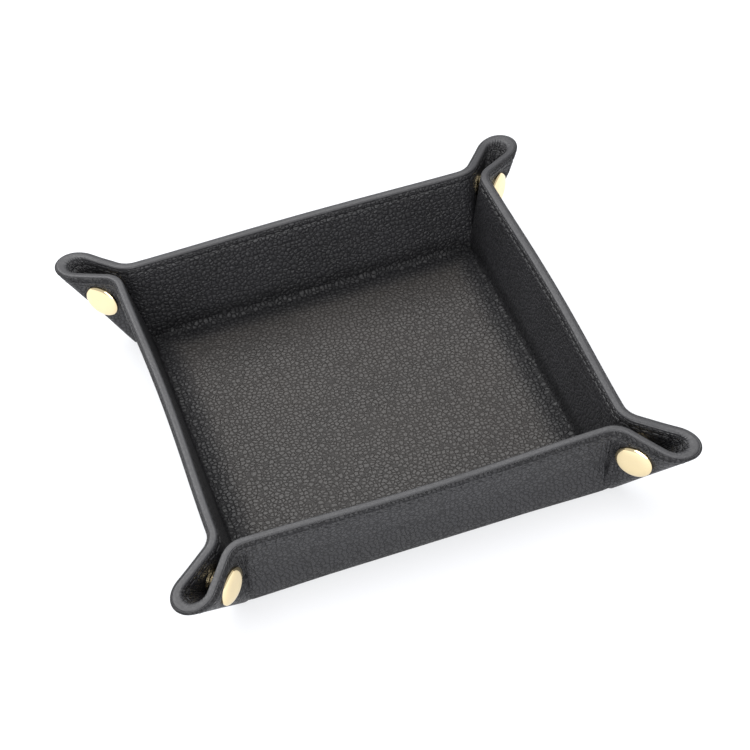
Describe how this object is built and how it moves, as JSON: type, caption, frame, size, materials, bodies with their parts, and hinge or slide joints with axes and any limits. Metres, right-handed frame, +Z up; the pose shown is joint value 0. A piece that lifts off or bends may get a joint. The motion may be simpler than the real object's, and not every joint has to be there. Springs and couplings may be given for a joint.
{
  "type": "valet tray",
  "caption": "Square folded leather valet tray with low leaning walls, rounded corner spouts and press snaps that let the walls open out.",
  "frame": {"origin": "centre of the floor's underside, on the surface that the tray stands on", "axes": "+Z up out of the tray, -Y towards the front wall, +X towards the right wall"},
  "size_m": [0.1732, 0.1732, 0.0328],
  "materials": {
    "outer_leather": "pebble grain, satin",
    "lining_leather": "pebble grain, satin",
    "board": "matte fibre board",
    "snap_brass": "pale gold plating, polished",
    "spring_steel": "drawn wire"
  },
  "bodies": {
    "base": {"base_outer_leather": "outer_leather", "base_lining": "lining_leather", "base_board": "board"},
    "wall_front": {"wall_front_outer_leather": "outer_leather", "wall_front_lining": "lining_leather", "wall_front_board": "board"},
    "wall_right": {"wall_right_outer_leather": "outer_leather", "wall_right_lining": "lining_leather", "wall_right_board": "board"},
    "wall_back": {"wall_back_outer_leather": "outer_leather", "wall_back_lining": "lining_leather", "wall_back_board": "board"},
    "wall_left": {"wall_left_outer_leather": "outer_leather", "wall_left_lining": "lining_leather", "wall_left_board": "board"},
    "flap_front_right": {"flap_front_right_outer_leather": "outer_leather", "flap_front_right_lining": "lining_leather", "flap_front_right_cap": "snap_brass", "flap_front_right_stud": "snap_brass"},
    "flap_right_front": {"flap_right_front_outer_leather": "outer_leather", "flap_right_front_lining": "lining_leather", "flap_right_front_cap": "snap_brass", "flap_right_front_socket": "snap_brass", "flap_right_front_spring": "spring_steel"},
    "spout_front_right": {"spout_front_right_outer_leather": "outer_leather", "spout_front_right_lining": "lining_leather"},
    "flap_right_back": {"flap_right_back_outer_leather": "outer_leather", "flap_right_back_lining": "lining_leather", "flap_right_back_cap": "snap_brass", "flap_right_back_stud": "snap_brass"},
    "flap_back_right": {"flap_back_right_outer_leather": "outer_leather", "flap_back_right_lining": "lining_leather", "flap_back_right_cap": "snap_brass", "flap_back_right_socket": "snap_brass", "flap_back_right_spring": "spring_steel"},
    "spout_right_back": {"spout_right_back_outer_leather": "outer_leather", "spout_right_back_lining": "lining_leather"},
    "flap_back_left": {"flap_back_left_outer_leather": "outer_leather", "flap_back_left_lining": "lining_leather", "flap_back_left_cap": "snap_brass", "flap_back_left_stud": "snap_brass"},
    "flap_left_back": {"flap_left_back_outer_leather": "outer_leather", "flap_left_back_lining": "lining_leather", "flap_left_back_cap": "snap_brass", "flap_left_back_socket": "snap_brass", "flap_left_back_spring": "spring_steel"},
    "spout_back_left": {"spout_back_left_outer_leather": "outer_leather", "spout_back_left_lining": "lining_leather"},
    "flap_left_front": {"flap_left_front_outer_leather": "outer_leather", "flap_left_front_lining": "lining_leather", "flap_left_front_cap": "snap_brass", "flap_left_front_stud": "snap_brass"},
    "flap_front_left": {"flap_front_left_outer_leather": "outer_leather", "flap_front_left_lining": "lining_leather", "flap_front_left_cap": "snap_brass", "flap_front_left_socket": "snap_brass", "flap_front_left_spring": "spring_steel"},
    "spout_left_front": {"spout_left_front_outer_leather": "outer_leather", "spout_left_front_lining": "lining_leather"}
  },
  "joints": [
    {"name": "wall_front_fold", "type": "hinge", "parent": "base", "child": "wall_front", "pos_m": [0, -0.06283, 0], "axis": [1, 0, 0], "range_deg": [0, 38]},
    {"name": "wall_right_fold", "type": "hinge", "parent": "base", "child": "wall_right", "pos_m": [0.06283, 0, 0], "axis": [0, 1, 0], "range_deg": [0, 38]},
    {"name": "wall_back_fold", "type": "hinge", "parent": "base", "child": "wall_back", "pos_m": [0, 0.06283, 0], "axis": [-1, 0, 0], "range_deg": [0, 38]},
    {"name": "wall_left_fold", "type": "hinge", "parent": "base", "child": "wall_left", "pos_m": [-0.06283, 0, 0], "axis": [0, -1, 0], "range_deg": [0, 38]},
    {"name": "flap_front_right_fold", "type": "hinge", "parent": "wall_front", "child": "flap_front_right", "pos_m": [0.06, -0.06, 0.0035], "axis": [0, -0.2079, 0.9781], "range_deg": [0, 21.5]},
    {"name": "flap_right_front_fold", "type": "hinge", "parent": "wall_right", "child": "flap_right_front", "pos_m": [0.06, -0.06, 0.0035], "axis": [-0.2079, 0, -0.9781], "range_deg": [0, 21.5]},
    {"name": "spout_front_right_tilt", "type": "hinge", "parent": "base", "child": "spout_front_right", "pos_m": [0.06137, -0.06137, -0.00334], "axis": [0.7071, 0.7071, 0], "range_deg": [0, 23.5]},
    {"name": "flap_right_back_fold", "type": "hinge", "parent": "wall_right", "child": "flap_right_back", "pos_m": [0.06, 0.06, 0.0035], "axis": [0.2079, 0, 0.9781], "range_deg": [0, 21.5]},
    {"name": "flap_back_right_fold", "type": "hinge", "parent": "wall_back", "child": "flap_back_right", "pos_m": [0.06, 0.06, 0.0035], "axis": [0, -0.2079, -0.9781], "range_deg": [0, 21.5]},
    {"name": "spout_right_back_tilt", "type": "hinge", "parent": "base", "child": "spout_right_back", "pos_m": [0.06137, 0.06137, -0.00334], "axis": [-0.7071, 0.7071, 0], "range_deg": [0, 23.5]},
    {"name": "flap_back_left_fold", "type": "hinge", "parent": "wall_back", "child": "flap_back_left", "pos_m": [-0.06, 0.06, 0.0035], "axis": [0, 0.2079, 0.9781], "range_deg": [0, 21.5]},
    {"name": "flap_left_back_fold", "type": "hinge", "parent": "wall_left", "child": "flap_left_back", "pos_m": [-0.06, 0.06, 0.0035], "axis": [0.2079, 0, -0.9781], "range_deg": [0, 21.5]},
    {"name": "spout_back_left_tilt", "type": "hinge", "parent": "base", "child": "spout_back_left", "pos_m": [-0.06137, 0.06137, -0.00334], "axis": [-0.7071, -0.7071, 0], "range_deg": [0, 23.5]},
    {"name": "flap_left_front_fold", "type": "hinge", "parent": "wall_left", "child": "flap_left_front", "pos_m": [-0.06, -0.06, 0.0035], "axis": [-0.2079, 0, 0.9781], "range_deg": [0, 21.5]},
    {"name": "flap_front_left_fold", "type": "hinge", "parent": "wall_front", "child": "flap_front_left", "pos_m": [-0.06, -0.06, 0.0035], "axis": [0, 0.2079, -0.9781], "range_deg": [0, 21.5]},
    {"name": "spout_left_front_tilt", "type": "hinge", "parent": "base", "child": "spout_left_front", "pos_m": [-0.06137, -0.06137, -0.00334], "axis": [0.7071, -0.7071, 0], "range_deg": [0, 23.5]}
  ],
  "couplings": [
    {"joint": "wall_right_fold", "follows": "wall_front_fold", "ratio": 1},
    {"joint": "wall_back_fold", "follows": "wall_front_fold", "ratio": 1},
    {"joint": "wall_left_fold", "follows": "wall_front_fold", "ratio": 1},
    {"joint": "flap_front_right_fold", "follows": "wall_front_fold", "ratio": 0.56},
    {"joint": "flap_right_front_fold", "follows": "wall_front_fold", "ratio": 0.56},
    {"joint": "spout_front_right_tilt", "follows": "wall_front_fold", "ratio": 0.606},
    {"joint": "flap_right_back_fold", "follows": "wall_front_fold", "ratio": 0.56},
    {"joint": "flap_back_right_fold", "follows": "wall_front_fold", "ratio": 0.56},
    {"joint": "spout_right_back_tilt", "follows": "wall_front_fold", "ratio": 0.606},
    {"joint": "flap_back_left_fold", "follows": "wall_front_fold", "ratio": 0.56},
    {"joint": "flap_left_back_fold", "follows": "wall_front_fold", "ratio": 0.56},
    {"joint": "spout_back_left_tilt", "follows": "wall_front_fold", "ratio": 0.606},
    {"joint": "flap_left_front_fold", "follows": "wall_front_fold", "ratio": 0.56},
    {"joint": "flap_front_left_fold", "follows": "wall_front_fold", "ratio": 0.56},
    {"joint": "spout_left_front_tilt", "follows": "wall_front_fold", "ratio": 0.606}
  ]
}
